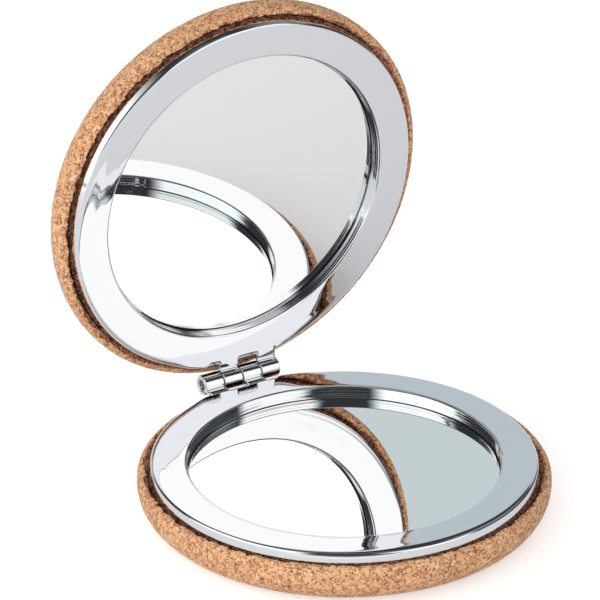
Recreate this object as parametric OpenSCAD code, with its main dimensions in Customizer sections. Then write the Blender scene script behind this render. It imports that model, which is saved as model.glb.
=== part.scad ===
// Round folding compact mirror: two cork halves, each with a pressed and plated steel frame that
// carries a glass mirror, joined by a hinge of four curled knuckles on one pin.
// The origin is the centre of the flat underside, +Z is up and the hinge lies at +Y.
// Each half is drawn in its own frame, with its rim face at zero height and its body below it.

/* [Case] */
// Outer diameter of each cork shell
case_d = 70.4; // [60:0.1:90]
// Height of one half, from its flat outer face to its rim face
half_h = 9.3; // [8.4:0.1:14]
// Radius of the round corner around the flat outer face
corner_r = 5.6; // [3:0.1:6.4]
// Thickness of the cork wall around the frame
cork_wall = 1.75; // [1.4:0.05:2.6]
// Depth of the cork rim below the rim face of the frame
lip_drop = 1.45; // [1.3:0.05:2]
// Radius that rounds the outside of the cork rim
lip_r = 1.2; // [0.6:0.05:1.3]
// Chamfer inside the cork rim
lip_chamfer = 0.25; // [0.1:0.05:0.5]

/* [Frame] */
// Thickness of the pressed sheet
sheet_t = 0.7; // [0.5:0.05:0.8]
// Clear way between the skirt of the frame and the cork
frame_clear = 0.2; // [0.1:0.05:0.5]
// Width of the flat rim, from the skirt to the opening
rim_w = 6.45; // [5:0.05:9]
// Radius of the outer edge of the rim
rim_round = 0.6; // [0.3:0.05:0.65]
// Radius of the inner edge of the rim
opening_round = 0.35; // [0.2:0.05:0.5]
// Length of the skirt below the rim face
skirt_h = 3.9; // [2.5:0.1:4.1]
// Width of each small step pressed into the wall of the recess
step_w = 0.12; // [0.05:0.01:0.2]
// Depth of the upper step below the rim face
upper_step_h = 1; // [0.8:0.05:1.2]
// Depth of the lower step below the rim face
lower_step_h = 1.65; // [1.4:0.05:1.85]
// Radius of the outer bend at the foot of the recess
floor_round = 0.8; // [0.3:0.05:1]

/* [Mirror] */
// Depth of the mirror face below the rim face
recess_h = 2.16; // [2.05:0.02:2.5]
// Thickness of the glass
mirror_t = 1.1; // [1:0.05:1.4]
// Clear way around the glass
mirror_clear = 0.1; // [0.05:0.05:0.2]
// Chamfer around the front of the glass
mirror_chamfer = 0.15; // [0.05:0.05:0.3]
// Thickness of the foam pad behind the glass
foam_t = 0.5; // [0.3:0.05:0.8]
// Distance of the edge of the foam pad from the edge of the glass
foam_inset = 2.5; // [1:0.1:6]
// Thickness of the adhesive disc between the frame and the cork
adhesive_t = 0.3; // [0.15:0.05:0.5]
// Distance of the edge of the adhesive disc from the outer side of the recess wall
adhesive_inset = 1.6; // [1.2:0.1:6]

/* [Hinge] */
// Length of one of the four knuckles
knuckle_l = 3.75; // [3:0.05:5]
// Clear way between two neighbouring knuckles
knuckle_clear = 0.12; // [0.06:0.02:0.3]
// Diameter of the hinge pin
pin_d = 2.1; // [1.6:0.05:2.2]
// Radial clearance of the pin in the knuckles
pin_clear = 0.05; // [0.02:0.01:0.08]
// Distance of each end of the pin from the end of the barrel
pin_recess = 0.2; // [0:0.05:0.6]
// Chamfer at each end of the pin
pin_chamfer = 0.25; // [0.1:0.05:0.5]
// Width of the open seam where the curled sheet meets itself
seam_w = 0.15; // [0.08:0.01:0.25]
// Reach of the clearance cuts past the barrel, for the knuckles of the other half
slot_reach = 1.3; // [1:0.05:3]
// Radius in the inner corners of the clearance cuts
slot_round = 0.4; // [0.2:0.05:1]
// Radius where the outer side of the tab runs into the rim
tab_fillet = 0.6; // [0.4:0.1:2]
// Gap between the two rim faces when the mirror is shut
shut_gap = 0.4; // [0.3:0.02:0.8]
// Gap between the two cork shells when the mirror lies flat open
flat_gap = 0.5; // [0.4:0.02:1]
// Angle between the two halves at rest, where 0 is shut
open_angle = 85.5; // [0:0.5:180]

/* [Hidden] */
$fn = 96;

// Overrun that lets a cut pass clean through what it cuts
overrun = 1;
// Straight pieces in each quarter round of a revolved outline
arc_steps = 6;

// Knuckles in the whole barrel, of which each half owns every other one
knuckle_count = 4;
own_knuckles = [0, 2];

// Radii of the cork shell, the frame and the recess
cork_r = case_d / 2;
pocket_r = cork_r - cork_wall;
frame_r = pocket_r - frame_clear;
opening_r = frame_r - rim_w;
recess_r = opening_r - 2 * step_w;
mirror_r = recess_r - mirror_clear;
foam_r = mirror_r - foam_inset;
adhesive_r = recess_r + sheet_t - adhesive_inset;

// Heights in the frame of one half, all below its rim face
glass_back_z = -recess_h - mirror_t;
floor_z = glass_back_z - foam_t;
frame_back_z = floor_z - sheet_t;
pocket_z = frame_back_z - adhesive_t;

// Hinge axis, seen from one half, and the barrel around it
axis_y = cork_r + flat_gap / 2;
axis_z = shut_gap / 2;
bore_r = pin_d / 2 + pin_clear;
knuckle_r = bore_r + sheet_t;
slot_y = axis_y - knuckle_r - slot_reach;
barrel_l = knuckle_count * knuckle_l;

// Middle of the flat rim, where the tab and the gap in the skirt below it start
rim_middle = opening_r + rim_w / 2;
// End of the straight edge beside the tab, where it meets the round rim
edge_end_x = sqrt(pow(frame_r, 2) - pow(min(slot_y, frame_r), 2));
// End of the gap in the skirt, clear of that straight edge and of the barrel
skirt_start_x = max(barrel_l / 2, edge_end_x) + slot_round;

// Place along the axis where knuckle number i starts
function knuckle_x(i) = (i - knuckle_count / 2) * knuckle_l;

// Points of a round from angle a to angle b about the point c
function arc(c, r, a, b) = [
    for (i = [0:arc_steps]) let (t = a + (b - a) * i / arc_steps) c + r * [cos(t), sin(t)]
];

// Outline of the cork shell, revolved about the axis of the half
module cork_outline() {
    polygon(concat(
        [[0, pocket_z], [0, -half_h]],
        arc([cork_r - corner_r, corner_r - half_h], corner_r, -90, 0),
        arc([cork_r - lip_r, -lip_drop - lip_r], lip_r, 0, 90),
        [[pocket_r + lip_chamfer, -lip_drop], [pocket_r, -lip_drop - lip_chamfer]],
        [[pocket_r, pocket_z]]
    ));
}

// Outline of the frame: skirt, rounded rim, stepped wall of the recess and its floor
module frame_outline() {
    polygon(concat(
        [[frame_r - sheet_t, -skirt_h], [frame_r, -skirt_h]],
        arc([frame_r - rim_round, -rim_round], rim_round, 0, 90),
        arc([opening_r + opening_round, -opening_round], opening_round, 90, 180),
        [[opening_r, -upper_step_h], [opening_r - step_w, -upper_step_h - step_w]],
        [[opening_r - step_w, -lower_step_h], [recess_r, -lower_step_h - step_w]],
        [[recess_r, floor_z], [0, floor_z], [0, frame_back_z]],
        arc([recess_r + sheet_t - floor_round, frame_back_z + floor_round], floor_round, -90, 0),
        [[opening_r + sheet_t, -upper_step_h], [opening_r + sheet_t, -sheet_t]],
        [[frame_r - sheet_t, -sheet_t]]
    ));
}

// Fillet between the rim and the outer side of the tab, which is at x
module tab_corner(x) {
    centre_x = x - tab_fillet;
    centre_y = sqrt(pow(frame_r + tab_fillet, 2) - pow(centre_x, 2));
    touch = [centre_x, centre_y] * frame_r / (frame_r + tab_fillet);
    inner = [x, touch[1] - tab_fillet];
    difference() {
        polygon([[x, centre_y], [centre_x, centre_y], touch, inner]);
        translate([centre_x, centre_y]) circle(tab_fillet);
    }
}

// Clearance cut for a knuckle of the other half, open toward the barrel and round in its inner corners
module knuckle_cut(left, right) {
    width = right - left;
    length = axis_y + knuckle_r - slot_y;
    translate([left, slot_y + slot_round]) square([width, length]);
    translate([left + slot_round, slot_y]) square([width - 2 * slot_round, length]);
    for (x = [left + slot_round, right - slot_round]) {
        translate([x, slot_y + slot_round]) circle(slot_round);
    }
}

// Both cuts: a slot between the own knuckles, and a straight edge from the tab out past the rim
module knuckle_cuts() {
    knuckle_cut(knuckle_x(1) - knuckle_clear / 2, knuckle_x(2) + knuckle_clear / 2);
    knuckle_cut(knuckle_x(3) - knuckle_clear / 2, skirt_start_x + overrun);
}

// Plan of the tab that reaches from the rim to the barrel
module tab_plan() {
    left = knuckle_x(0) + knuckle_clear / 2;
    right = knuckle_x(3) - knuckle_clear / 2;
    translate([left, rim_middle]) square([right - left, axis_y - rim_middle]);
    tab_corner(left);
}

// Curled knuckles of one half as solid rollers, bored and split later
module knuckle_rollers() {
    for (i = own_knuckles) {
        translate([knuckle_x(i) + knuckle_clear / 2, axis_y, axis_z]) {
            rotate([0, 90, 0]) cylinder(r = knuckle_r, h = knuckle_l - knuckle_clear);
        }
    }
}

// Frame of one half, pressed from one sheet that rises from the tab, curls over the pin and ends under it
module frame_half() {
    tab_l = knuckle_x(3) - knuckle_x(0);
    skirt_gap_l = skirt_start_x - knuckle_x(0);
    color("silver") difference() {
        union() {
            difference() {
                rotate_extrude() frame_outline();
                translate([knuckle_x(0), rim_middle, -skirt_h - overrun]) {
                    cube([skirt_gap_l, axis_y, skirt_h + overrun - sheet_t]);
                }
            }
            translate([0, 0, -sheet_t]) linear_extrude(sheet_t) tab_plan();
            knuckle_rollers();
        }
        translate([0, 0, -sheet_t - overrun]) {
            linear_extrude(sheet_t + 2 * overrun + knuckle_r) knuckle_cuts();
        }
        translate([-barrel_l / 2 - overrun, axis_y, axis_z]) {
            rotate([0, 90, 0]) cylinder(r = bore_r, h = barrel_l + 2 * overrun);
        }
        translate([knuckle_x(0), axis_y - knuckle_r, -sheet_t - seam_w]) {
            cube([tab_l, knuckle_r, seam_w]);
        }
    }
}

// Turned shell of cork granules with the pocket for the frame
module cork_half() {
    color("peru") rotate_extrude() cork_outline();
}

// Glass with its front edge chamfered, silvered on the back
module mirror_half() {
    color("lightsteelblue") translate([0, 0, glass_back_z]) {
        cylinder(r = mirror_r, h = mirror_t - mirror_chamfer);
        translate([0, 0, mirror_t - mirror_chamfer]) {
            cylinder(r1 = mirror_r, r2 = mirror_r - mirror_chamfer, h = mirror_chamfer);
        }
    }
}

// Foam pad that holds the glass to the floor of the frame
module foam_half() {
    color("white") translate([0, 0, floor_z]) cylinder(r = foam_r, h = foam_t);
}

// Adhesive disc that holds the frame in the cork
module adhesive_half() {
    color("khaki") translate([0, 0, pocket_z]) cylinder(r = adhesive_r, h = adhesive_t);
}

// Sets a half down as the base, with its flat face on the ground
module as_base() {
    translate([0, 0, half_h]) children();
}

// Sets a half up as the lid: turned over onto the base, then swung open about the hinge
module as_lid() {
    translate([0, axis_y, half_h + axis_z]) rotate([-open_angle, 0, 0]) {
        rotate([0, 180, 0]) translate([0, -axis_y, -axis_z]) children();
    }
}

// Pin through all four knuckles, chamfered at both ends
module hinge_pin() {
    length = barrel_l - 2 * pin_recess;
    pin_r = pin_d / 2;
    color("gray") translate([-length / 2, axis_y, half_h + axis_z]) rotate([0, 90, 0]) {
        cylinder(r1 = pin_r - pin_chamfer, r2 = pin_r, h = pin_chamfer);
        translate([0, 0, pin_chamfer]) cylinder(r = pin_r, h = length - 2 * pin_chamfer);
        translate([0, 0, length - pin_chamfer]) {
            cylinder(r1 = pin_r, r2 = pin_r - pin_chamfer, h = pin_chamfer);
        }
    }
}

module base_cork_shell() {
    as_base() cork_half();
}

module base_frame() {
    as_base() frame_half();
}

module base_frame_adhesive() {
    as_base() adhesive_half();
}

module base_mirror() {
    as_base() mirror_half();
}

module base_mirror_foam_pad() {
    as_base() foam_half();
}

module lid_cork_shell() {
    as_lid() cork_half();
}

module lid_frame() {
    as_lid() frame_half();
}

module lid_frame_adhesive() {
    as_lid() adhesive_half();
}

module lid_mirror() {
    as_lid() mirror_half();
}

module lid_mirror_foam_pad() {
    as_lid() foam_half();
}

base_cork_shell();
base_frame();
base_frame_adhesive();
base_mirror();
base_mirror_foam_pad();
lid_cork_shell();
lid_frame();
lid_frame_adhesive();
lid_mirror();
lid_mirror_foam_pad();
hinge_pin();
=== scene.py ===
import itertools
import math

import bpy
import numpy as np
from mathutils import Matrix, Vector
from mathutils.geometry import delaunay_2d_cdt


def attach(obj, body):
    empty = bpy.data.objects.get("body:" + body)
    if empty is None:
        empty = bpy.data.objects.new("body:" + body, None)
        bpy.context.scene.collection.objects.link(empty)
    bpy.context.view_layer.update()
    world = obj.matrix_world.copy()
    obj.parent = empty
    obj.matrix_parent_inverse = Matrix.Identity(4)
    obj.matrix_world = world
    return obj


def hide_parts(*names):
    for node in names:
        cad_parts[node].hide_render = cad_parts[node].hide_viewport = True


# Compact mirror: two cork shells with chromed pressed frames, recessed mirrors and a curled-knuckle hinge.
# Every shape is worked out in millimetres in the frame of one half, with its rim face at zero height,
# and is then carried to its place as the base or as the lid.
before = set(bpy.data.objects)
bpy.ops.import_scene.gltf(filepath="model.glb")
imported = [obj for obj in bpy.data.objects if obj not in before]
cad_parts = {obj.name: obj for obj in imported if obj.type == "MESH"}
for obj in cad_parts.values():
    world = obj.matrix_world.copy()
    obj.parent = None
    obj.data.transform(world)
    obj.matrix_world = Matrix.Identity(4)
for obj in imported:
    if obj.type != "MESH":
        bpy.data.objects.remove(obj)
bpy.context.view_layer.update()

half = {"height": 9.3, "axisY": 35.45, "axisZ": 0.2, "openAngle": 85.5}
sides = ("base", "lid")


def halfPlaces():
    # the base stands on the ground; the lid is turned over onto it and then swung open about the hinge
    axis = Vector((0, half["axisY"], half["axisZ"]))
    base = Matrix.Translation((0, 0, half["height"]))
    swing = Matrix.Rotation(-math.radians(half["openAngle"]), 4, "X") @ Matrix.Rotation(math.pi, 4, "Y")
    lid = base @ Matrix.Translation(axis) @ swing @ Matrix.Translation(-axis)
    return {"base": base, "lid": lid}


places = halfPlaces()


def addObject(name, data):
    # puts new data into the scene as an object
    thing = bpy.data.objects.new(name, data)
    bpy.context.scene.collection.objects.link(thing)
    return thing


def gridQuads(rows, columns, wrap=False):
    # corners of the quads between neighbouring rows and columns; wrap joins the last column to the first
    across = columns if wrap else columns - 1
    i, j = np.meshgrid(np.arange(rows - 1), np.arange(across), indexing="ij")
    near, far = i * columns + j, i * columns + (j + 1) % columns
    return np.stack([near, near + columns, far + columns, far], -1).reshape(-1, 4)


class Surface:
    # patches of points, faces and shading normals that become one welded mesh
    def __init__(self):
        self.points, self.faces, self.normals, self.count = [], [], [], 0

    def grid(self, points, normals, wrap=False):
        # points and normals are rows x columns x 3
        rows, columns = points.shape[:2]
        self.quads(points.reshape(-1, 3), gridQuads(rows, columns, wrap), normals.reshape(-1, 3))

    def quads(self, points, quads, normals):
        # normals are given for each point, or for each corner of each face
        self.points.append(points)
        self.faces.append(quads + self.count)
        self.normals.append(normals[quads] if normals.ndim == 2 else normals)
        self.count += len(points)

    def flat(self, outline, holes, height, up, axes=None, origin=(0, 0, 0), lift=None, normals=None):
        # fills the region between an outline and its holes, all in one plane; axes are the plane's own three
        # directions, one in each row, and origin is where the plane's zero lies; lift and normals, where they are
        # given, bend the sheet slightly at the points of its loops
        loops = [outline] + holes
        sizes = [len(loop) for loop in loops]
        starts = np.cumsum([0] + sizes[:-1])
        edges = [(int(s + k), int(s + (k + 1) % n)) for s, n in zip(starts, sizes) for k in range(n)]
        given = np.concatenate(loops)
        found = delaunay_2d_cdt([Vector(p) for p in given], edges, [], 0, 1e-7)
        plane = np.array([tuple(p) for p in found[0]])
        source = np.array([origins[0] if origins else -1 for origins in found[3]])
        plane[source >= 0] = given[source[source >= 0]]
        faces = np.array(found[2], int)
        middle = plane[faces].mean(1)
        inside = windingInside(middle, outline)
        for hole in holes:
            inside &= ~windingInside(middle, hole)
        faces = faces[inside]
        a, b, c = (plane[faces[:, k]] for k in range(3))
        turn = (b[:, 0] - a[:, 0]) * (c[:, 1] - a[:, 1]) - (b[:, 1] - a[:, 1]) * (c[:, 0] - a[:, 0])
        faces = faces[np.abs(turn) > 1e-12]
        quads = np.concatenate([faces, faces[:, 2:]], 1)
        axes = np.eye(3) if axes is None else np.asarray(axes, float)
        level = np.full((len(plane), 1), float(height))
        if lift is not None:
            level[:, 0] += lift[source]
        points = np.concatenate([plane, level], 1) @ axes + np.asarray(origin)
        if normals is None:
            self.quads(points, quads, np.broadcast_to(np.sign(up) * axes[2], (len(quads), 4, 3)))
        else:
            self.quads(points, quads, normals[source])

    def mesh(self, name, place, exact=True, fields=None):
        # welds equal points, drops faces without area, turns faces to their normals and keeps those normals
        points, faces, corners = (np.concatenate(part) for part in (self.points, self.faces, self.normals))
        spread = points[faces]
        lean = np.cross(spread[:, 2] - spread[:, 0], spread[:, 3] - spread[:, 1])
        wrong = (lean * corners.sum(1)).sum(1) < 0
        faces[wrong], corners[wrong] = faces[wrong][:, ::-1], corners[wrong][:, ::-1]
        cells, offset = 2e4, 0.137      # weld cells in a millimetre, with their borders kept off round values
        key = np.round(points * cells + offset).astype(np.int64)
        _, first, back = np.unique(key, axis=0, return_index=True, return_inverse=True)
        faces, welded = back.reshape(-1)[faces], points[first]
        same = faces == np.roll(faces, -1, axis=1)
        across = (faces[:, 0] == faces[:, 2]) | (faces[:, 1] == faces[:, 3])
        whole, once = ~same.any(1) & ~across, same.sum(1) == 1
        keep = np.array([[1, 2, 3], [2, 3, 0], [3, 0, 1], [0, 1, 2]])[same[once].argmax(1)]
        tris = np.take_along_axis(faces[once], keep, 1)
        proper = (tris != np.roll(tris, -1, axis=1)).all(1)
        tris, triNormals = tris[proper], np.take_along_axis(corners[once], keep[:, :, None], 1)[proper]
        turn = np.array(place)
        placed = (welded @ turn[:3, :3].T + turn[:3, 3]) * 0.001
        mesh = bpy.data.meshes.new(name)
        mesh.from_pydata(placed.tolist(), [], faces[whole].tolist() + tris.tolist())
        mesh.polygons.foreach_set("use_smooth", np.ones(len(mesh.polygons), bool))
        if exact:
            loops = np.concatenate([corners[whole].reshape(-1, 3), triNormals.reshape(-1, 3)]) @ turn[:3, :3].T
            loops /= np.maximum(np.linalg.norm(loops, axis=1), 1e-9)[:, None]
            mesh.normals_split_custom_set(loops.tolist())
        for field, values in (fields or {}).items():
            layer = mesh.attributes.new(field, "FLOAT", "POINT")
            layer.data.foreach_set("value", np.ascontiguousarray(values[first], np.float32))
        mesh.update()
        return addObject(name, mesh)


def windingInside(points, loop):
    # even-odd test of many points against one closed loop
    a, b = loop, np.roll(loop, -1, axis=0)
    x, y = points[:, 0:1], points[:, 1:2]
    crosses = (a[:, 1] > y) != (b[:, 1] > y)
    with np.errstate(divide="ignore", invalid="ignore"):
        at = a[:, 0] + (y - a[:, 1]) * (b[:, 0] - a[:, 0]) / (b[:, 1] - a[:, 1])
    return (crosses & (x < at)).sum(1) % 2 == 1


def circlePoints(radius, segments):
    # points round a circle: x = r sin a, y = r cos a
    turn = np.linspace(0, 2 * np.pi, segments, endpoint=False)
    return radius * np.stack([np.sin(turn), np.cos(turn)], -1)


def turned(radius, height, segments):
    # carries rows of radius and height round the axis: x = r sin a, y = r cos a, z = height
    radius, height = (np.broadcast_to(part, (len(part), segments))[..., None] for part in (radius, height))
    return np.concatenate([radius * circlePoints(1.0, segments), height], -1)


def revolve(surface, profile, normals, segments):
    # profile of (radius, height) and its normals turned about the axis
    surface.grid(*(turned(part[:, :1], part[:, 1:], segments) for part in (profile, normals)), wrap=True)


def arcRun(centre, radius, start, end, steps, hollow=False):
    # points of a round between two angles in degrees; its normals point away from the centre, or to it if hollow
    turn = np.radians(np.linspace(start, end, steps + 1))
    facing = np.stack([np.cos(turn), np.sin(turn)], -1)
    return np.asarray(centre) + radius * facing, -facing if hollow else facing


def lineRun(start, end, steps, facing):
    # evenly spaced points of a straight line that all share one normal
    return np.linspace(start, end, steps + 1), np.tile(np.asarray(facing, float), (steps + 1, 1))


def smoothStep(value):
    # 0 below 0 and 1 above 1, with a level start and end: 3 v squared less 2 v cubed
    value = np.clip(value, 0, 1)
    return value * value * (3 - 2 * value)


def soften(values, soft, reach=60):
    # running mean with a bell-shaped weight; its width and reach are counted in samples
    weight = np.exp(-0.5 * (np.arange(-reach, reach + 1) / soft) ** 2)
    return np.convolve(np.pad(values, reach, mode="edge"), weight / weight.sum(), mode="valid")


def finish(piece, body, node, material):
    # dresses a piece, ties it to its body and hides the CAD node that it stands in for
    piece.data.materials.append(material)
    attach(piece, body)
    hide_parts(node)
    return piece


def newMaterial(name):
    material = bpy.data.materials.new(name)
    material.use_nodes = True
    tree = material.node_tree
    return material, tree, tree.nodes["Principled BSDF"]


def feed(tree, node, inputs):
    # gives inputs, by name or number, what they take: an output to join, a number, a vector or a plain colour
    for name, value in inputs.items():
        socket = node.inputs[name]
        if isinstance(value, bpy.types.NodeSocket):
            tree.links.new(value, socket)
        else:
            socket.default_value = (*value, 1) if socket.type == "RGBA" else value
    return node


def addNode(tree, kind, inputs={}, **settings):
    # adds a node, makes its settings and feeds its inputs
    node = tree.nodes.new("ShaderNode" + kind)
    for key, value in settings.items():
        setattr(node, key, value)
    return feed(tree, node, inputs)


def mathNode(tree, operation, *values):
    return addNode(tree, "Math", dict(enumerate(values)), operation=operation).outputs[0]


def vectorNode(tree, operation, *values):
    # a dot product gives a number, and every other operation here gives a vector
    node = addNode(tree, "VectorMath", dict(enumerate(values)), operation=operation)
    return node.outputs["Value" if operation == "DOT_PRODUCT" else "Vector"]


def mixColour(tree, factor, a, b, mode="MIX"):
    # blends colour a with colour b
    return addNode(tree, "Mix", {0: factor, 6: a, 7: b}, data_type="RGBA", blend_type=mode).outputs[2]


def ramp(tree, source, stops):
    # colour ramp with (place, colour) stops
    node = addNode(tree, "ValToRGB", {0: source})
    elements = node.color_ramp.elements
    while len(elements) < len(stops):
        elements.new(0.5)
    for element, (place, colour) in zip(elements, stops):
        element.position = place
        element.color = (*colour, 1)
    return node.outputs[0]


def band(tree, value, low, high):
    # 0 below the low value, 1 above the high one and smooth between them
    return addNode(tree, "MapRange", {"Value": value, "From Min": low, "From Max": high},
                   interpolation_type="SMOOTHSTEP").outputs[0]


def noiseAt(tree, place, scale, detail, rough=0.5):
    # fractal noise with a scale per metre; gives its value and its colour
    return addNode(tree, "TexNoise", {"Vector": place, "Scale": scale, "Detail": detail, "Roughness": rough}).outputs


def fieldNode(tree, name):
    # value that the mesh carries at its points
    return addNode(tree, "Attribute", attribute_name=name).outputs["Fac"]


def objectCoordinates(tree):
    return addNode(tree, "TexCoord").outputs["Object"]


def grainGroup():
    # fine grain for any finish: fractal noise of a given grain size gives a value, and a bump of a given height
    group = bpy.data.node_groups.new("fineGrain", "ShaderNodeTree")
    for name, way, kind in (
            ("Position", "INPUT", "Vector"), ("Grain Size", "INPUT", "Float"), ("Height", "INPUT", "Float"),
            ("Grain", "OUTPUT", "Float"), ("Normal", "OUTPUT", "Vector")):
        group.interface.new_socket(name, in_out=way, socket_type="NodeSocket" + kind)
    given = group.nodes.new("NodeGroupInput").outputs
    scale = mathNode(group, "DIVIDE", 1000.0, given["Grain Size"])
    noise = noiseAt(group, given["Position"], scale, 4.0, 0.6)[0]
    height = mathNode(group, "MULTIPLY", noise, mathNode(group, "MULTIPLY", given["Height"], 0.001))
    bump = addNode(group, "Bump", {"Height": height, "Strength": 1.0, "Distance": 1.0}).outputs[0]
    feed(group, group.nodes.new("NodeGroupOutput"), {"Grain": noise, "Normal": bump})
    return group


fineGrain = grainGroup()


def placeGrain(tree, size, height):
    # puts the grain group into a material, with its size and height in millimetres
    return addNode(tree, "Group", {"Position": objectCoordinates(tree), "Grain Size": size, "Height": height},
                   node_tree=fineGrain).outputs


cork = {
    # colour ramps as (place, colour): the granules' own tones, fine and broad shading on them, and bark and cork
    # in the torn lip
    "tones": [(0.0, (0.56, 0.27, 0.13)), (0.12, (0.65, 0.345, 0.17)), (0.5, (0.73, 0.415, 0.215)),
              (0.9, (0.78, 0.455, 0.25)), (1.0, (0.80, 0.52, 0.32))],
    "fineShade": [(0.3, (0.62, 0.50, 0.42)), (0.48, (1, 1, 1)), (0.7, (1.15, 1.17, 1.2))],
    "broadShade": [(0.3, (0.92, 0.86, 0.82)), (0.5, (1, 1, 1)), (0.7, (1.04, 1.06, 1.08))],
    "torn": [(0.45, (0.18, 0.052, 0.03)), (0.57, (0.70, 0.31, 0.165))],
    "deepColour": (0.22, 0.066, 0.025), "speckColour": (0.13, 0.045, 0.025),
    "granule": 0.62, "speck": 0.42,             # millimetres across a usual granule and a bark speck
    "wobble": 0.0006,                           # metres that the granules' edges wander
    "strokeWidth": 0.17, "strokeShare": 0.56,   # dark gaps: width as a share of a granule, share that is dark
    "speckLeast": 0.95, "speckReach": 0.4,      # least random value of a cell with a speck, and the speck's reach
    "strokeTint": 0.85, "speckTint": 0.8, "pitTint": 0.6,       # how fully each of them is coloured
    "roughness": 0.8, "specular": 0.3, "sheen": 0.14, "sheenRoughness": 0.45,
    "bump": 0.00006,                            # metres
}


def corkMaterial():
    # random tone for each granule, fine mottling, dark strokes along some of the gaps, bark specks, torn edges
    material, tree, shader = newMaterial("corkGranules")
    place = objectCoordinates(tree)
    wobble = noiseAt(tree, place, 1500.0, 2.0)["Color"]
    bent = vectorNode(tree, "ADD", place, vectorNode(tree, "MULTIPLY", wobble, (cork["wobble"],) * 3))
    granules = {"Vector": bent, "Scale": 1000 / cork["granule"]}
    cells = addNode(tree, "TexVoronoi", granules).outputs
    gaps = addNode(tree, "TexVoronoi", granules, feature="DISTANCE_TO_EDGE").outputs
    specks = addNode(tree, "TexVoronoi", {"Vector": bent, "Scale": 1000 / cork["speck"]}).outputs
    tonePick, speckPick = (addNode(tree, "SeparateColor", {0: cell["Color"]}).outputs for cell in (cells, specks))
    mottle = noiseAt(tree, place, 3300.0, 4.0, 0.7)[0]
    patches = noiseAt(tree, place, 620.0, 2.0)[0]
    where = noiseAt(tree, place, 1500.0, 1.0)[0]
    colour = ramp(tree, tonePick[0], cork["tones"])
    for noise, shade in ((mottle, "fineShade"), (patches, "broadShade")):
        colour = mixColour(tree, 1.0, colour, ramp(tree, noise, cork[shade]), "MULTIPLY")
    chosen = band(tree, where, 1.02 - cork["strokeShare"], 1.1 - cork["strokeShare"])
    line = mathNode(tree, "SUBTRACT", 1.0, band(tree, gaps[0], 0.02, cork["strokeWidth"]))
    stroke = mathNode(tree, "MULTIPLY", line, chosen)
    dark = mathNode(tree, "MULTIPLY", mathNode(tree, "GREATER_THAN", speckPick[1], cork["speckLeast"]),
                    mathNode(tree, "LESS_THAN", specks["Distance"], cork["speckReach"]))
    for mask, share, tint in ((stroke, "strokeTint", "deepColour"), (dark, "speckTint", "speckColour"),
                              (fieldNode(tree, "hollow"), "pitTint", "deepColour")):
        colour = mixColour(tree, mathNode(tree, "MULTIPLY", mask, cork[share]), colour, cork[tint])
    fibre = mathNode(tree, "MULTIPLY", mathNode(tree, "ADD", mottle, where), 0.5)
    colour = mixColour(tree, fieldNode(tree, "tear"), colour, ramp(tree, fibre, cork["torn"]))
    height = mathNode(tree, "ADD", mathNode(tree, "MULTIPLY", stroke, -0.8), mottle)
    height = mathNode(tree, "SUBTRACT", height, mathNode(tree, "MULTIPLY", dark, 0.5))
    bump = addNode(tree, "Bump", {"Height": height, "Strength": 1.0, "Distance": cork["bump"]}).outputs[0]
    feed(tree, shader, {"Base Color": colour, "Normal": bump, "Roughness": cork["roughness"],
                        "Specular IOR Level": cork["specular"], "Sheen Weight": cork["sheen"],
                        "Sheen Roughness": cork["sheenRoughness"]})
    return material


chrome = {"colour": (0.76, 0.778, 0.805), "roughness": 0.03, "hazeSize": 1.6}


def chromeMaterial():
    # bright plate with a faint uneven haze, from half to one and a half times its usual roughness
    material, tree, shader = newMaterial("chromePlate")
    rough = chrome["roughness"]
    haze = placeGrain(tree, chrome["hazeSize"], 0.0)["Grain"]
    dull = addNode(tree, "MapRange", {"Value": haze, "To Min": rough * 0.5, "To Max": rough * 1.5}).outputs[0]
    feed(tree, shader, {"Base Color": chrome["colour"], "Roughness": dull, "Metallic": 1.0})
    return material


glass = {"colour": (0.90, 0.92, 0.91), "edgeColour": (0.42, 0.49, 0.47), "roughness": 0.006}


def mirrorMaterial():
    # silvered face, with the ground edge in the darker green-grey of the glass
    material, tree, shader = newMaterial("silveredGlass")
    colour = mixColour(tree, fieldNode(tree, "edge"), glass["colour"], glass["edgeColour"])
    feed(tree, shader, {"Base Color": colour, "Roughness": glass["roughness"], "Metallic": 1.0})
    return material


def plainMaterial(name, colour, roughness, metallic, grain, height):
    # even finish with a fine grain in colour and height; grain and height are millimetres
    material, tree, shader = newMaterial(name)
    fine = placeGrain(tree, grain, height)
    tone = ramp(tree, fine["Grain"], [(0.3, tuple(0.84 * c for c in colour)), (0.7, colour)])
    feed(tree, shader, {"Base Color": tone, "Normal": fine["Normal"], "Roughness": roughness, "Metallic": metallic})
    return material


corkLook, chromeLook, mirrorLook = corkMaterial(), chromeMaterial(), mirrorMaterial()
print("stage: materials")


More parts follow.
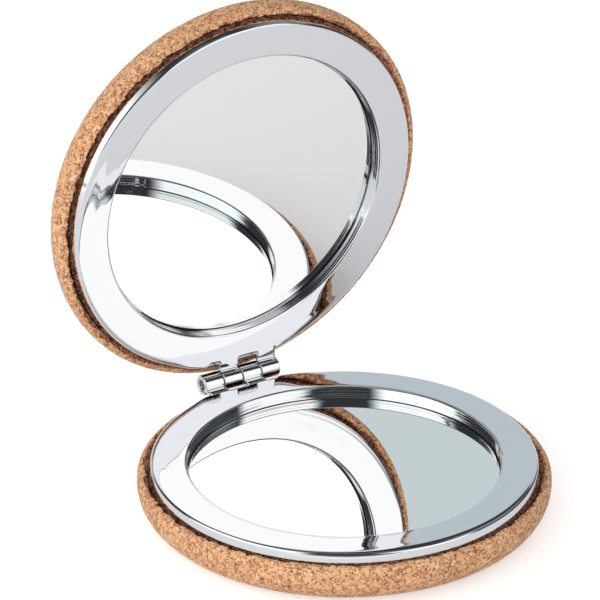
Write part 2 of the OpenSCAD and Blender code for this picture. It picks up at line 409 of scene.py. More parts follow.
pressing = {
    "frameR": 33.25, "openingR": 26.72, "sheet": 0.7, "skirt": 3.9, "rimRound": 0.6,
    "openingRounds": [(0.5, 0, 53), (0.3, 53, 88)],  # rounds into the recess: radius, first and last tilt
    # wall of the recess below its round, as (height, radius) corners that are then softened
    "wall": [(-0.3, 26.735), (-0.8, 26.705), (-0.83, 26.69), (-1.34, 26.655), (-1.38, 26.64), (-1.7, 26.6),
             (-1.74, 26.585), (-2.4, 26.56)],
    "wallTable": (-2.6, 0.002), "wallSoft": 7,      # depth and step of the wall's table, and softening in steps
    "wallRows": (-2.3, 0.03),                       # depth and step of the rows that are built
    "marks": 0.0007, "markPitch": (0.19, 0.31), "markFade": 0.15,       # faint marks of the drawing
    "floorZ": -3.76, "floorRound": 0.8, "neckR": 27.5, "neckZ": -1.0,   # floor of the cup, and its neck outside
    "tabLeft": -7.44, "tabRight": 3.69, "slotLeft": -3.81, "slotRight": 0.06, "cutY": 32.55,
    "cutRound": 0.4, "tabFillet": 0.6, "edgeBlend": 1.5, "skirtStart": 8.09,
    "tabTurn": 15, "tabFade": 9,                    # degrees beside the tab that stay plane, and of the change
    "sideRound": 0.18, "endRound": 0.5, "endStretch": 2.3, "hemRound": 0.09,    # rounds of the sides, ends and hem
    "edgeLeft": 0.01,                               # straight part that the rounds leave of the sheet's edge
    "tongueY": 33.6, "boreR": 1.1, "knuckleR": 1.8, "seam": 0.15, "inner": 0.15, "lip": 0.2,
    "tipReach": 0.7, "tipLeast": 0.03,              # side rounds shrink within this reach of the thin tip
    # slope of the upper face from the recess to the rim, as (radius, rise per length): it falls to the recess,
    # sags, rises to a soft bead and falls away to the rim
    "innerSlope": [(27.42, 0.03), (27.7, 0.012), (28.2, 0.0)],
    "outerSlope": [(28.8, 0.0), (29.3, -0.009), (29.8, -0.017), (30.5, 0.0), (31.2, 0.016), (31.45, 0.011),
                   (31.7, 0.0), (32.0, -0.025), (32.3, -0.09), (32.52, -0.2)],
    "slopeTable": (27.0, 32.7, 0.005), "slopeSoft": 28,     # first and last radius, step, and softening in steps
    "gridR": 31.45, "bendR": 31.6, "rollR": 32.52,  # end of the ring, start of its bend and of the tight roll
    "roll": 0.5, "rollEnd": 75, "flare": 25.0, "flareEnd": 78, "flareFoot": -2.0,
    "kneeR": 28.3, "ringRows": (7, 17), "bendRows": 9,      # rows of the ring before and after its knee; of the bend
    # outer part of the ring: its middle height and (size, times round, phase) of its swell, and where that fades
    "swellMiddle": 0.7, "swell": [(0.4, 1, 0), (0.1, 3, 1.2), (0.08, 7, 0.4)], "swellFade": 1.5,
    # fine waves: size, usual length, number and random seed, then the radius where they start and their fade
    "wave": 0.0022, "waveLength": 6.0, "waves": 12, "waveSeed": 11, "waveR": 27.5, "waveFade": 0.9,
    "roundSteps": 8, "segments": 600,
}


def slopeAndHeight(table, r):
    # slope at each radius from the softened table, and the height it adds up to from the table's level end
    low, high, step = pressing["slopeTable"]
    fine = np.arange(low, high, step)
    slope = soften(np.interp(fine, *np.array(table).T), pressing["slopeSoft"])
    height = np.concatenate([[0], np.cumsum((slope[1:] + slope[:-1]) / 2 * step)])
    height -= np.interp(table[0][0] if table[0][1] == 0 else table[-1][0], fine, height)
    return np.interp(r, fine, slope), np.interp(r, fine, height)


def awayFromTab(x, y):
    # 0 beside the tab, where the face stays plane, and 1 round the rest of the ring
    return smoothStep((np.degrees(np.abs(np.arctan2(x, y))) - pressing["tabTurn"]) / pressing["tabFade"])


def ringHeight(x, y):
    # height of the pressed ring: its inner and outer profile, whose outer part swells and fades round the ring,
    # plus a sum of straight waves in scattered directions that fade out at both edges
    p = pressing
    r, turn = np.hypot(x, y), np.arctan2(x, y)
    swell = sum((size * np.sin(times * turn + phase) for size, times, phase in p["swell"]), p["swellMiddle"])
    swell = 1 + (swell - 1) * smoothStep((p["gridR"] - r) / p["swellFade"])
    window = smoothStep((r - p["waveR"]) / p["waveFade"]) * smoothStep((p["gridR"] - r) / p["waveFade"])
    pick, n = np.random.default_rng(p["waveSeed"]), p["waves"]
    total = 0
    for way, size, phase in zip(pick.uniform(0, 2 * np.pi, n), pick.uniform(0.5, 1.5, n), pick.uniform(0, 6, n)):
        along = x * math.cos(way) + y * math.sin(way)
        total = total + p["wave"] / 3 * np.sin(2 * np.pi * along / (size * p["waveLength"]) + phase)
    outer = slopeAndHeight(p["outerSlope"], r)[1] * swell + total * window
    return slopeAndHeight(p["innerSlope"], r)[1] + awayFromTab(x, y) * outer


def ringNormals(x, y):
    # upward normals from the slopes of the ring's height, by differences over a short step
    d = 2e-3
    slopeX = (ringHeight(x + d, y) - ringHeight(x - d, y)) / (2 * d)
    slopeY = (ringHeight(x, y + d) - ringHeight(x, y - d)) / (2 * d)
    normals = np.stack([-slopeX, -slopeY, np.ones_like(x)], -1)
    return normals / np.linalg.norm(normals, axis=-1)[..., None]


def tangentRounds(rounds):
    # rounds that meet without a kink, as (radius, first tilt, last tilt, steps) with tilts in radians: from tilt a
    # to tilt b each goes radius x (sin b - sin a) sideways and radius x (cos a - cos b) down
    tilt = np.concatenate([[rounds[0][1]]] + [np.linspace(a, b, n + 1)[1:] for _, a, b, n in rounds])
    radius = np.concatenate([np.full(n, size) for size, _, _, n in rounds])
    across = np.concatenate([[0], np.cumsum(radius * np.diff(np.sin(tilt)))])
    return tilt, across, np.concatenate([[0], np.cumsum(-radius * np.diff(np.cos(tilt)))])


def openingRound():
    # rounds from the face down into the recess in (radius, height), worked out from the wall back to the face
    p = pressing
    rounds = [(size, math.radians(first), math.radians(last), 12) for size, first, last in p["openingRounds"]]
    tilt, inward, drop = tangentRounds(rounds)
    start = p["openingR"] + inward[-1]
    slope, level = slopeAndHeight(p["innerSlope"], start)
    tilt = np.maximum(tilt, math.atan(slope))
    return np.stack([start - inward, level - drop], -1), np.stack([-np.sin(tilt), np.cos(tilt)], -1)


def wavyRing(surface):
    # the ring as a polar grid lifted to its height
    p = pressing
    before, after = p["ringRows"]
    r = np.concatenate([np.linspace(openingRound()[0][0, 0], p["kneeR"], before)[:-1],
                        np.linspace(p["kneeR"], p["gridR"], after)])[:, None]
    points = turned(r, 0 * r, p["segments"])
    x, y = points[..., 0], points[..., 1]
    points[..., 2] = ringHeight(x, y)
    surface.grid(points, ringNormals(x, y), wrap=True)


def joined(runs):
    # joins ((points, normals), first round, last round) runs end to end into one line, where each round goes
    # smoothly from its first value to its last
    points, normals = (np.concatenate([run[0][k] for run in runs]) for k in (0, 1))
    rounds = np.concatenate([first + (last - first) * smoothStep(np.linspace(0, 1, len(run[0])))
                             for run, first, last in runs])
    fresh = np.concatenate([[True], np.linalg.norm(np.diff(points, axis=0), axis=1) > 1e-6])
    return points[fresh], normals[fresh], rounds[fresh]


def outlineParts():
    # plan of the sheet's edge in four lines: from the right tongue along the straight edge, round the skirted
    # rim, up the left side of the tab, and round the slot; each with outward normals and the radius of its top
    p = pressing
    c, side, end, rim = p["cutRound"], p["sideRound"], p["endRound"], p["rimRound"]
    right, left, y, tongueY = p["tabRight"], p["tabLeft"], p["cutY"], p["tongueY"]
    blend, frameR, fillet = p["edgeBlend"], p["frameR"], p["tabFillet"]
    blendX = math.sqrt((frameR - blend) ** 2 - (y - blend) ** 2)
    blendTurn = math.degrees(math.atan2(blendX, y - blend))
    startTurn = math.degrees(math.asin(p["skirtStart"] / frameR))
    filletX = left - fillet
    filletY = math.sqrt((frameR + fillet) ** 2 - filletX ** 2)
    filletTurn = math.degrees(math.atan2(-filletX, filletY))
    fromTongue = lambda x: [
        (lineRun((x, tongueY), (x, y + c), 5, (1, 0)), side, side),
        (arcRun((x + c, y + c), c, 180, 270, 10, hollow=True), side, end)]
    first = joined(fromTongue(right) + [
        (lineRun((right + c, y), (blendX, y), 16, (0, 1)), end, rim),
        (arcRun((blendX, y - blend), blend, 90, 90 - blendTurn, 6), rim, rim),
        (arcRun((0, 0), frameR, 90 - blendTurn, 90 - startTurn, 2), rim, rim)])
    skirted = joined([(arcRun((0, 0), frameR, 90 - startTurn, 90 - 360 + filletTurn, p["segments"]), rim, rim)])
    last = joined([
        (arcRun((filletX, filletY), fillet, 270 + filletTurn, 360, 12, hollow=True), rim, side),
        (lineRun((left, filletY), (left, tongueY), 5, (-1, 0)), side, side)])
    a, b = p["slotLeft"], p["slotRight"]
    slot = joined(fromTongue(a) + [
        (lineRun((a + c, y), (b - c, y), 12, (0, 1)), end, end),
        (arcRun((b - c, y + c), c, 270, 360, 10, hollow=True), end, side),
        (lineRun((b, y + c), (b, tongueY), 5, (-1, 0)), side, side)])
    return first, skirted, last, slot


def rimSection():
    # section of the rim at its full shape, as (inset, height, normal angle from upright): the outer slope of the
    # face, a tight roll, a wide flare, and a straight run down to the skirt
    p = pressing
    r = np.linspace(p["bendR"], p["rollR"], p["bendRows"])
    slope, height = slopeAndHeight(p["outerSlope"], r)
    angle, rollEnd, flareEnd = np.arctan(-slope), math.radians(p["rollEnd"]), math.radians(p["flareEnd"])
    tilt, out, down = tangentRounds([(p["roll"], angle[-1], rollEnd, 8), (p["flare"], rollEnd, flareEnd, 5)])
    endR = r[-1] + out[-1] + (height[-1] - down[-1] - p["flareFoot"]) / math.tan(flareEnd)
    radius = np.concatenate([r, r[-1] + out[1:], [endR]])
    level = np.concatenate([height, height[-1] - down[1:], [p["flareFoot"]]])
    return p["frameR"] - radius, level, np.concatenate([angle, tilt[1:], [flareEnd]])


def footRound(top):
    # round at the bottom of the sheet's edge, under a top round of a given radius
    return np.minimum(pressing["sideRound"], pressing["sheet"] - pressing["edgeLeft"] - top)


def rimColumns(line):
    # section at each station round the skirted rim as (inset, height, outward share, upward share): it grows from
    # the plain round beside the tab to the full rim section, then a skirt with a round hem and its inner side
    p = pressing
    e, sheet, r, before, deep = p["hemRound"], p["sheet"], p["rimRound"], p["bendRows"], -p["skirt"]
    full = [part[None] for part in rimSection()]
    up = np.radians(np.linspace(90, 0, p["roundSteps"] + 1))
    after = full[0].shape[1] - before - p["roundSteps"]
    plain = [np.pad(part[1:], (before, after), constant_values=ends) for part, ends in (
        (r * (1 - np.cos(up)), (r, 0)), (-r * (1 - np.sin(up)), (0, -r)), (np.radians(90) - up, (0, np.radians(90))))]
    grow = awayFromTab(line[:, 0], line[:, 1])[:, None]
    inset, height, angle = (start + (end - start) * grow for start, end in zip(plain, full))
    base, zero = inset[:, -1:], 0 * grow
    outer, inner = (np.radians(np.linspace(a, a - 90, 4))[None] for a in (0, -90))
    first = np.minimum(footRound(r) - sheet, height[:, -1:])
    return [np.concatenate(part, 1) for part in (
        (inset, base, base + e * (1 - np.cos(outer)), base + sheet - e - e * np.cos(inner), zero + sheet),
        (height, first, deep + e + e * np.sin(outer) + zero, deep + e + e * np.sin(inner) + zero, zero - sheet),
        (np.sin(angle), 1 + zero, np.cos(outer) + zero, np.cos(inner) + zero, zero - 1),
        (np.cos(angle), zero, np.sin(outer) + zero, np.sin(inner) + zero, zero))]


def edgeColumns(top):
    # section of a plain edge of the sheet at each station: an elliptic top round that is wider than deep where its
    # radius lies between that of the sides and that of the rim, then a round bottom
    p = pressing
    r = top[:, None]
    stretch = 1 + (p["endStretch"] - 1) * smoothStep((p["rimRound"] - r) / 0.05) * smoothStep((r - 0.2) / 0.3)
    foot = footRound(r)
    up, down = (np.radians(np.linspace(a, a - 90, p["roundSteps"] + 1))[None] for a in (90, 0))
    size = np.hypot(np.cos(up), stretch * np.sin(up))
    return [np.concatenate(part, 1) for part in (
        (r * stretch * (1 - np.cos(up)), foot * (1 - np.cos(down))),
        (-r * (1 - np.sin(up)), foot - p["sheet"] + foot * np.sin(down)),
        (np.cos(up) / size, np.cos(down) + 0 * r), (stretch * np.sin(up) / size, np.sin(down) + 0 * r))]


def sweepEdge(surface, line, outward, top, skirt=False):
    # carries the edge section along a line; gives back the line where the upper face starts, the line where the
    # lower face starts, and the heights and normals of the first
    inset, height, outShare, upShare = rimColumns(line) if skirt else edgeColumns(top)
    points = np.concatenate([line[:, None] - inset[..., None] * outward[:, None], height[..., None]], -1)
    facing = np.concatenate([outShare[..., None] * outward[:, None], upShare[..., None]], -1)
    surface.grid(points, facing)
    return points[:, 0, :2], points[:, -1, :2], points[:, 0, 2], facing[:, 0]


def tidyLoop(loop):
    # drops repeated points of a closed loop
    return loop[np.linalg.norm(loop - np.roll(loop, 1, axis=0), axis=1) > 1e-6]


def skirtEnd(surface, point, outward, facing):
    # closes a cut end of the skirt: the area between the section with a skirt and the one without
    p = pressing
    wide, thin = (np.stack([-inset[0], height[0]], -1)[start:] for (inset, height, *_), start in (
        (rimColumns(np.array([[0, 1.0]])), rimSection()[0].size),
        (edgeColumns(np.array([p["rimRound"]])), p["roundSteps"] + 1)))
    axes = [[*outward, 0], [0, 0, 1], [outward[1], -outward[0], 0]]
    surface.flat(tidyLoop(np.concatenate([wide, thin[::-1]])), [], 0, facing, axes, (*point, 0))


def knuckleRuns():
    # closed section of the curled sheet in (y, z): top of the tab, small hollow round, over the pin to the lip
    # below it, seam face, round the bore, and back along the underside of the tab
    p = pressing
    cy, cz, big, bore = half["axisY"], half["axisZ"], p["knuckleR"], p["boreR"]
    hollow, lip, sheet = p["inner"], p["lip"], p["sheet"]
    seamZ = -sheet - p["seam"]
    hollowY = cy - math.sqrt((big + hollow) ** 2 - (hollow - cz) ** 2)
    hollowEnd = math.degrees(math.atan2(cz - hollow, cy - hollowY))
    lipZ = seamZ - lip
    lipY = cy - math.sqrt((big - lip) ** 2 - (lipZ - cz) ** 2)
    lipTurn = math.degrees(math.atan2(lipZ - cz, lipY - cy))
    seamTurn = -180 - math.degrees(math.asin((seamZ - cz) / bore))
    underTurn = 180 - math.degrees(math.asin((-sheet - cz) / bore))
    boreRun = arcRun((cy, cz), bore, seamTurn, underTurn, 64, hollow=True)
    tip = boreRun[0][-1]
    return [
        lineRun((p["tongueY"], 0), (hollowY, 0), 1, (0, 1)),
        arcRun((hollowY, hollow), hollow, 270, 360 + hollowEnd, 6, hollow=True),
        arcRun((cy, cz), big, 180 + hollowEnd, lipTurn, 90),
        arcRun((lipY, lipZ), lip, lipTurn, -270, 6),
        lineRun((lipY, seamZ), boreRun[0][0], 3, (0, 1)),
        boreRun,
        lineRun(tip, (p["tongueY"], -sheet), 8, (0, -1)),
    ], tip


def addTongue(surface, xa, xb):
    # the section carried along the hinge; at a tilt t each side round stands e sin t outward and sinks the section
    # by e (1 - cos t), less near the thin tip of the sheet
    p = pressing
    e, n = p["sideRound"], p["roundSteps"]
    runs, tip = knuckleRuns()
    points, before = (np.concatenate([run[k] for run in runs]) for k in (0, 1))
    ends = np.cumsum([len(run) for run, _ in runs])[:-1]
    mitre = before.copy()
    for k in ends:
        mitre[k - 1] = mitre[k] = (before[k - 1] + before[k]) / max(1 + before[k - 1] @ before[k], 0.6)
    room = np.clip(np.linalg.norm(points - tip, axis=1) / p["tipReach"], p["tipLeast"], 1)[:, None]
    turn = np.radians(np.concatenate([np.linspace(-90, 0, n + 1), np.linspace(0, 90, n + 1)]))
    tilt, level = np.sin(turn), np.cos(turn)
    x = np.repeat([xa + e, xb - e], n + 1) + e * tilt
    inner = points[:, None] - (e * (1 - level) * room)[..., None] * mitre[:, None]
    x, lean = (np.broadcast_to(part[:, None], (*inner.shape[:2], 1)) for part in (x, tilt))
    placed = np.concatenate([x, inner], -1)
    facing = np.concatenate([lean, level[:, None] * before[:, None]], -1)
    for part, normals in zip(np.split(placed, ends), np.split(facing, ends)):
        surface.grid(part, normals)
    for x, way in ((xb, 1), (xa, -1)):
        surface.flat(tidyLoop(points - e * room * mitre), [], x, way, [[0, 1, 0], [0, 0, 1], [1, 0, 0]])


def recessWall():
    # wall of the recess in (radius, height): straight runs between the listed corners, softened by a running
    # mean, plus faint drawing marks; its normals are square to the slope
    p = pressing
    deep, step = p["wallTable"]
    z = np.arange(0, deep, -step)
    r = soften(np.interp(z, *np.array(p["wall"])[::-1].T), p["wallSoft"])
    top = openingRound()[0][-1, 1]
    fine, broad = (np.sin(2 * np.pi * z / pitch + phase) for pitch, phase in zip(p["markPitch"], (0, 1.0)))
    r = r + p["marks"] * smoothStep((top - z) / p["markFade"]) * (fine + 0.7 * broad)
    slope = np.gradient(r, z)
    foot, row = p["wallRows"]
    at = np.arange(top, foot, -row)
    r, slope = np.interp(-at, -z, r), np.interp(-at, -z, slope)
    r[0], slope[0] = p["openingR"], slope[1]
    facing = np.stack([-np.ones_like(slope), slope], -1) / np.sqrt(1 + slope ** 2)[:, None]
    return np.stack([r, at], -1), facing


def recessRuns():
    # section of the cup in (radius, height): opening round, wall, floor, and the cup's outer side
    p = pressing
    wall, wallOut = recessWall()
    foot, floorZ, backZ, bend, neckR = wall[-1, 0], p["floorZ"], p["floorZ"] - p["sheet"], p["floorRound"], p["neckR"]
    outR = p["wall"][-1][1] + p["sheet"]
    return [
        openingRound(),
        (wall, wallOut),
        lineRun(wall[-1], (foot, floorZ), 1, (-1, 0)),
        lineRun((foot, floorZ), (0, floorZ), 1, (0, 1)),
        lineRun((0, backZ), (outR - bend, backZ), 1, (0, -1)),
        arcRun((outR - bend, backZ + bend), bend, -90, 0, 6),
        lineRun((outR, backZ + bend), (neckR, p["neckZ"]), 1, (1, 0)),
        lineRun((neckR, p["neckZ"]), (neckR, -p["sheet"]), 1, (1, 0)),
    ]


def frameHalf(name, place):
    # one pressing: recess and wavy ring turned about the axis, edges carried round the plan, faces filled between
    p = pressing
    surface = Surface()
    for run, normals in recessRuns():
        revolve(surface, run, normals, p["segments"])
    wavyRing(surface)
    lines = outlineParts()
    skirted = lines[1]
    swept = [sweepEdge(surface, *line, skirt=line is skirted) for line in lines]
    for end, way in ((0, -1), (-1, 1)):
        skirtEnd(surface, skirted[0][end], skirted[1][end], way)
    upper, lower, lift, normals = (np.concatenate([line[k] for line in swept]) for k in range(4))
    fresh = np.linalg.norm(upper - np.roll(upper, 1, axis=0), axis=1) > 1e-6
    ring = circlePoints(p["gridR"], p["segments"])
    surface.flat(upper[fresh], [ring], 0, 1, lift=np.concatenate([lift[fresh], ringHeight(*ring.T)]),
                 normals=np.concatenate([normals[fresh], ringNormals(*ring.T)]))
    surface.flat(tidyLoop(lower), [circlePoints(p["neckR"], p["segments"])], -p["sheet"], -1)
    addTongue(surface, p["tabLeft"], p["slotLeft"])
    addTongue(surface, p["slotRight"], p["tabRight"])
    return surface.mesh(name, place)


for side in sides:
    finish(frameHalf(f"{side}_pressed_frame", places[side]), side, f"{side}_frame", chromeLook)
print("stage: frames")


shell = {
    "corkR": 35.2, "height": 9.3, "corner": 5.6, "wall": 1.75, "lipDrop": 1.65, "lipRound": 1.2,
    "tornTurn": 91, "tornSwing": 25,                # where the lip is torn off, in degrees up its outer round
    "tornFoot": -2.55, "tornRough": 0.26,           # height of the foot of the torn face, and its unevenness
    "ragged": [(0.5, 0.55, 9), (0.6, 1.3, 12), (0.35, 3.1, 15), (0.4, 0.28, 18)],   # swing: share, size, seed
    "pocketZ": -4.76, "segments": 900, "granule": 0.95, "dent": 0.045, "pit": 0.16,
    "groove": 0.22, "warp": 0.25, "rise": 0.03,     # width of the grooves, their wander, steps between granules
    "pitLeast": 0.965, "pitReach": 0.5,             # least random value of a granule with a pit, and its reach
    "lipRows": 15, "tornRows": 10, "pocketRows": 3,
}


def nearCubes(scaled, steps, table):
    # every cube of the unit grid near each point: its step from the point's own cube, its corner and its random
    # row, which is picked from the table by mixing the corner's three numbers
    corner = np.floor(scaled).astype(np.int64)
    for step in itertools.product(steps, repeat=3):
        cube = corner + step
        mixed = np.bitwise_xor.reduce(cube * (73856093, 19349663, 83492791), axis=1)
        yield step, cube, table[mixed & (len(table) - 1)]


def cellField(points, size, seed):
    # distance to the nearest and second nearest of one random seed per cube, and the value of the nearest
    table = np.random.default_rng(seed).random((4096, 4))
    near, second, value = np.full((3, len(points)), 9.0)
    for _, cube, row in nearCubes(points / size, (-1, 0, 1), table):
        away = np.linalg.norm(cube + row[:, :3] - points / size, axis=1)
        closer = away < near
        second = np.where(closer, near, np.minimum(second, away))
        value = np.where(closer, row[:, 3], value)
        near = np.where(closer, away, near)
    return near, second, value


def smoothField(points, size, seed):
    # soft noise from -1 to 1, as blended random values on a cubic grid
    table = np.random.default_rng(seed).random(4096) * 2 - 1
    scaled = points / size
    part = smoothStep(scaled - np.floor(scaled))
    return sum(value * np.where(step, part, 1 - part).prod(1) for step, _, value in nearCubes(scaled, (0, 1), table))


def shellRows(seed):
    # section of the shell in rows of (radius, height) for every angle, from the middle of the flat face to the
    # pocket; the round of the lip ends at a ragged angle, and a torn face runs from there down to the pocket;
    # with each row's share of tear, relief and roughness
    s = shell
    corkR, c, segments = s["corkR"], s["lipRound"], s["segments"]
    ring = np.concatenate([circlePoints(corkR, segments), np.full((segments, 1), seed * 50.0)], 1)
    ragged = sum(share * smoothField(ring, size, seed + more) for share, size, more in s["ragged"])
    flatR, pocketR = corkR - s["corner"], corkR - s["wall"]
    cornerZ, lipZ = s["corner"] - s["height"], -s["lipDrop"] - c
    part, down, pocket = (np.linspace(0, 1, n)[:, None]
                          for n in (s["lipRows"], s["tornRows"] + 1, s["pocketRows"] + 1))
    flat = np.linspace(0, flatR, 14)[:-1, None]
    corner = arcRun((flatR, cornerZ), s["corner"], -90, 0, 54)[0]
    side = np.linspace(cornerZ, lipZ, 8)[1:-1, None]
    torn = np.radians(s["tornTurn"] + s["tornSwing"] * ragged)[None]
    lipR, lipUp = corkR - c + c * np.cos(part * torn), lipZ + c * np.sin(part * torn)
    foot = s["tornFoot"] + 0.25 * smoothField(ring, 0.9, seed + 21)[None]
    faceR = lipR[-1:] + (pocketR - lipR[-1:]) * down[1:]
    faceUp = lipUp[-1:] + (foot - lipUp[-1:]) * down[1:] ** 1.25
    wallUp = foot + (s["pocketZ"] - foot) * pocket[1:]
    middle = np.zeros((1, 1))
    rows = [(flat, 0 * flat - s["height"]), (corner[:, :1], corner[:, 1:]), (0 * side + corkR, side), (lipR, lipUp),
            (faceR, faceUp), (0 * wallUp + pocketR, wallUp), (middle, middle + s["pocketZ"])]
    radius, height = (np.concatenate([np.broadcast_to(row[k], (len(row[k]), segments)) for row in rows])
                      for k in (0, 1))
    tear, relief, rough = np.zeros(len(radius)), np.ones(len(radius)), np.zeros(len(radius))
    tornStart = len(flat) + len(corner) + len(side) + s["lipRows"]
    tear[tornStart - 1], tear[tornStart:] = 0.5, 1
    relief[:len(flat)] = 0
    relief[len(flat):len(flat) + 12] = smoothStep(np.linspace(0, 1, 12))
    relief[-s["pocketRows"] - 2:] = 0
    rough[tornStart:tornStart + s["tornRows"] - 1] = 1
    return radius, height, tear, relief, rough


def corkHalf(name, place, seed):
    # the shell turned about the axis, its skin sunk along the gaps between granules and into a few pits
    s = shell
    segments = s["segments"]
    radius, height, *shares = shellRows(seed)
    tear, relief, rough = (np.repeat(share, segments) for share in shares)
    outR, outZ = np.gradient(height, axis=0), -np.gradient(radius, axis=0)
    size = np.maximum(np.hypot(outR, outZ), 1e-9)
    points, facing = turned(radius, height, segments), turned(outR / size, outZ / size, segments)
    shape, points, facing = points.shape, points.reshape(-1, 3), facing.reshape(-1, 3)
    moved = points + (seed * 37.0, seed * 11.0, 0)      # each half shows another part of the pattern
    warp = smoothField(moved, 0.7, seed + 5)[:, None] * s["warp"]
    near, second, value = cellField(moved + warp, s["granule"], seed)
    groove = smoothStep((second - near) / s["groove"])
    hollow = np.clip((value - s["pitLeast"]) / 0.02, 0, 1) * np.clip((s["pitReach"] - near) / 0.25, 0, 1)
    sink = relief * (s["dent"] * (1 - groove) + s["rise"] * value + s["pit"] * hollow)
    sink += rough * s["tornRough"] * (0.5 + 0.5 * smoothField(moved, 0.42, seed + 30))
    surface = Surface()
    surface.grid((points - facing * sink[:, None]).reshape(shape), facing.reshape(shape), wrap=True)
    tear = np.clip(tear * (1 + 0.15 * smoothField(moved, 0.5, seed + 33)), 0, 1)
    return surface.mesh(name, place, exact=False, fields={"tear": tear, "hollow": hollow * relief})


for seed, side in zip((2, 5), sides):
    finish(corkHalf(f"{side}_cork_granules", places[side], seed), side, f"{side}_cork_shell", corkLook)
print("stage: cork")


plate = {"radius": 26.46, "face": -2.16, "thick": 1.1, "chamfer": 0.15, "segments": 600}


def mirrorHalf(name, place):
    # flat disc with a narrow ground chamfer around its front, turned about the axis
    q = plate
    r, z, c = q["radius"], q["face"], q["chamfer"]
    back, slant = z - q["thick"], math.sqrt(0.5)
    surface = Surface()
    runs = [
        lineRun((0, z), (r - c, z), 2, (0, 1)), lineRun((r - c, z), (r, z - c), 1, (slant, slant)),
        lineRun((r, z - c), (r, back), 1, (1, 0)), lineRun((r, back), (0, back), 1, (0, -1)),
    ]
    edge = []
    for number, (run, normal) in enumerate(runs):
        revolve(surface, run, normal, q["segments"])
        edge.append(np.full(len(run) * q["segments"], float(number > 0)))
    return surface.mesh(name, place, fields={"edge": np.concatenate(edge)})


for side in sides:
    finish(mirrorHalf(f"{side}_silvered_glass", places[side]), side, f"{side}_mirror", mirrorLook)


pin = {
    "radius": 1.05, "length": 14.7, "round": 0.1, "segments": 96,
    "cup": 0.86, "cupRound": 0.08, "cupDeep": 0.5, "cupRise": 0.12,     # dish in each end, and how far it slopes
    "colour": (0.66, 0.67, 0.68), "roughness": 0.2, "grain": 0.35, "grainHeight": 0.004,
}


def pinPiece(name):
    # cut wire with a dish in each end, turned about the hinge axis
    q = pin
    r, c, cup, e, l = q["radius"], q["round"], q["cup"], q["cupRound"], q["length"] / 2
    deep = l - q["cupDeep"]
    surface = Surface()
    for run, normal in (
            arcRun((r - c, l - c), c, 0, 90, 5),
            arcRun((cup + e, l - e), e, 90, 180, 5),
            lineRun((cup, l - e), (cup, deep), 1, (-1, 0)),
            lineRun((cup, deep), (0, deep + q["cupRise"]), 6, (0.14, 0.99))):
        revolve(surface, run, normal, q["segments"])
        revolve(surface, run * [1, -1], normal * [1, -1], q["segments"])
    revolve(surface, *lineRun((r, l - c), (r, c - l), 1, (1, 0)), q["segments"])
    along = Matrix.Translation((0, half["axisY"], half["height"] + half["axisZ"]))
    return surface.mesh(name, along @ Matrix.Rotation(math.pi / 2, 4, "Y"))


pinLook = plainMaterial("pinSteel", pin["colour"], pin["roughness"], 1.0, pin["grain"], pin["grainHeight"])
finish(pinPiece("hinge_pin_wire"), "base", "hinge_pin", pinLook)

# hidden pads keep their CAD solids: material, colour, roughness, metallic, grain and grain height in millimetres
pads = {
    "mirror_foam_pad": ("foamTape", (0.82, 0.82, 0.80), 0.9, 0.0, 0.5, 0.05),
    "frame_adhesive": ("adhesiveFilm", (0.78, 0.74, 0.60), 0.55, 0.0, 0.4, 0.01),
}
for node, values in pads.items():
    look = plainMaterial(*values)
    for side in sides:
        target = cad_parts[f"{side}_{node}"]
        target.data.materials.clear()
        target.data.materials.append(look)
print("stage: mirrors, pin and hidden pads")


studio = {
    "floorColour": (0.86, 0.86, 0.86), "floorSeen": 0.44, "floorMirrored": 0.09,
    "floorReach": 6.0, "floorLevel": -0.00003,      # metres; a hair below the underside, so that the two never mix
    "plainLight": 0.62, "surround": (0.042, 0.044, 0.048), "horizon": (0.25, 0.255, 0.26), "horizonBand": (4, 4),
    # soft panels: degrees from the front turned to the right, half width and soft edge, then the low edge,
    # the high edge and its softness, how far each side leans in per degree above the lean's level, and the light
    "panels": [
        (90, 28, 10, -30, 60, 8, 0, (0.07, 0.075, 0.085)),
        (95, 30, 10, 33, 60, 4, 0, (0.30, 0.31, 0.34)),
        (-92, 37, 7, -30, 50, 16, 0, (1.47, 1.47, 1.47)),
        (22, 30, 5, -30, 41, 5, -0.4, (1.38, 1.34, 1.32)),
        (47, 16, 5, 16, 19, 1, 0, (0.08, 0.08, 0.09)),
        (15, 17, 8, 41, 60, 8, 0, (0.72, 0.72, 0.72)),
        (152, 32, 6, -30, 31, 1.5, 0, (0.605, 0.667, 0.70)),
        (152, 32, 6, -30, 7, 5, 0, (0.85, 0.88, 0.88)),
        (0, 181, 1, 74, 100, 4, 0, (0.2, 0.2, 0.205)),
    ],
    "leanLevel": 30, "lowSoft": 4,                  # where a lean starts, and the softness of every low edge
}


def stageFloor():
    # plain pale sheet that also glows a little for the camera and for reflections
    reach, level = studio["floorReach"], studio["floorLevel"]
    mesh = bpy.data.meshes.new("studio_floor")
    mesh.from_pydata([(-reach, -reach, level), (reach, -reach, level), (reach, reach, level), (-reach, reach, level)],
                     [], [(0, 1, 2, 3)])
    floor = addObject("studio_floor", mesh)
    material, tree, _ = newMaterial("palePaper")
    tree.nodes.clear()
    path = addNode(tree, "LightPath").outputs
    seen = mathNode(tree, "MULTIPLY", path["Is Camera Ray"], studio["floorSeen"])
    mirrored = mathNode(tree, "MAXIMUM", path["Is Glossy Ray"], path["Is Transmission Ray"])
    glow = mathNode(tree, "ADD", seen, mathNode(tree, "MULTIPLY", mirrored, studio["floorMirrored"]))
    paper = addNode(tree, "BsdfDiffuse", {"Color": studio["floorColour"]}).outputs[0]
    light = addNode(tree, "Emission", {"Color": (1, 1, 1), "Strength": glow}).outputs[0]
    addNode(tree, "OutputMaterial", {"Surface": addNode(tree, "AddShader", {0: paper, 1: light}).outputs[0]})
    mesh.materials.append(material)


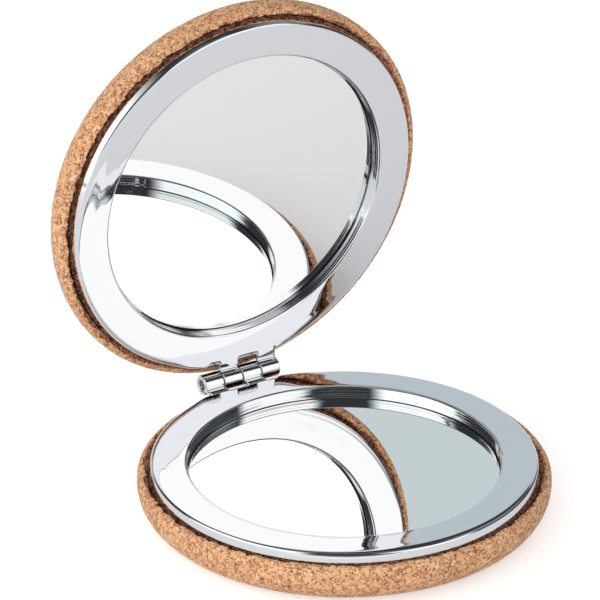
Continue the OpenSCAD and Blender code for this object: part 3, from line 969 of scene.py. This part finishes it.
def angleBand(tree, value, middle, soft, falling):
    # smooth step at an angle in degrees, rising with the value, or falling
    node = band(tree, value, math.radians(middle - soft), math.radians(middle + soft))
    return mathNode(tree, "SUBTRACT", 1.0, node) if falling else node


def studioWorld():
    # plain white light for matt surfaces, white for the camera, and a studio of soft panels for shiny surfaces;
    # a panel covers the rays whose level direction lies within its half width and whose rise lies in its range
    world = bpy.data.worlds.new("studio")
    bpy.context.scene.world = world
    world.use_nodes = True
    tree = world.node_tree
    tree.nodes.clear()
    direction = addNode(tree, "TexCoord").outputs["Generated"]
    rise = mathNode(tree, "ARCSINE", addNode(tree, "SeparateXYZ", {0: direction}).outputs[2])
    level = vectorNode(tree, "NORMALIZE", vectorNode(tree, "MULTIPLY", direction, (1, 1, 0)))
    above = mathNode(tree, "SUBTRACT", rise, math.radians(studio["leanLevel"]))
    ground = angleBand(tree, rise, *studio["horizonBand"], True)
    total = mixColour(tree, ground, studio["surround"], studio["horizon"])
    for centre, wide, edge, low, high, soft, lean, light in studio["panels"]:
        way = math.radians(centre)
        toward = vectorNode(tree, "DOT_PRODUCT", level, (math.sin(way), -math.cos(way), 0))
        away = mathNode(tree, "ADD", mathNode(tree, "ARCCOSINE", toward), mathNode(tree, "MULTIPLY", above, lean))
        mask = angleBand(tree, away, wide, edge, True)
        for limit, blur, falling in ((high, soft, True), (low, studio["lowSoft"], False)):
            mask = mathNode(tree, "MULTIPLY", mask, angleBand(tree, rise, limit, blur, falling))
        total = mixColour(tree, mask, total, light)
    path = addNode(tree, "LightPath").outputs
    lit, seen, panels = (
        addNode(tree, "Background", {"Color": colour, "Strength": strength}).outputs[0]
        for colour, strength in (((1, 1, 1), studio["plainLight"]), ((1, 1, 1), 1.0), (total, 1.0)))
    white = mathNode(tree, "MAXIMUM", path["Is Camera Ray"], path["Is Transmission Ray"])
    first = addNode(tree, "MixShader", {0: white, 1: lit, 2: seen}).outputs[0]
    last = addNode(tree, "MixShader", {0: path["Is Glossy Ray"], 1: first, 2: panels}).outputs[0]
    addNode(tree, "OutputWorld", {"Surface": last})


lamps = {
    "keyLight": {"from": (-0.72, -1.2, 0.45), "size": 0.9, "power": 8.6},
    "sideLight": {"from": (-1.0, 0.5, 0.6), "size": 0.9, "power": 5.0},
    "lowLight": {"from": (-1.3, -0.35, 0.3), "size": 0.9, "power": 3.3},
}


def studioLamps():
    # soft square lamps aimed at the object; shiny surfaces don't mirror them
    for name, lamp in lamps.items():
        light = bpy.data.lights.new(name, "AREA")
        light.size, light.energy = lamp["size"], lamp["power"]
        holder = addObject(name, light)
        holder.location = lamp["from"]
        holder.rotation_euler = (-Vector(lamp["from"])).to_track_quat("-Z", "Y").to_euler()
        holder.visible_glossy = holder.visible_camera = False


camera = {
    "place": (-0.490513, -0.803168, 0.513693), "target": (0.011555, 0.033993, 0.021841),
    "roll": 0.104, "lens": 377.9, "sensor": 36.0, "clip": (0.05, 30),
}


def photoCamera():
    # camera at the photograph's place, turned about its own line of sight by the small roll
    data = bpy.data.cameras.new("photoCamera")
    data.lens, data.sensor_width = camera["lens"], camera["sensor"]
    data.clip_start, data.clip_end = camera["clip"]
    eye = addObject("photoCamera", data)
    back = (Vector(camera["place"]) - Vector(camera["target"])).normalized()
    level = Vector((0, 0, 1)).cross(back).normalized()
    upright = back.cross(level)
    c, s = math.cos(math.radians(camera["roll"])), math.sin(math.radians(camera["roll"]))
    turn = Matrix((c * level + s * upright, c * upright - s * level, back)).transposed().to_4x4()
    eye.matrix_world = Matrix.Translation(camera["place"]) @ turn
    bpy.context.scene.camera = eye


stageFloor()
studioWorld()
studioLamps()
photoCamera()
bpy.context.scene.view_settings.view_transform = "Standard"
print("stage: studio and camera")
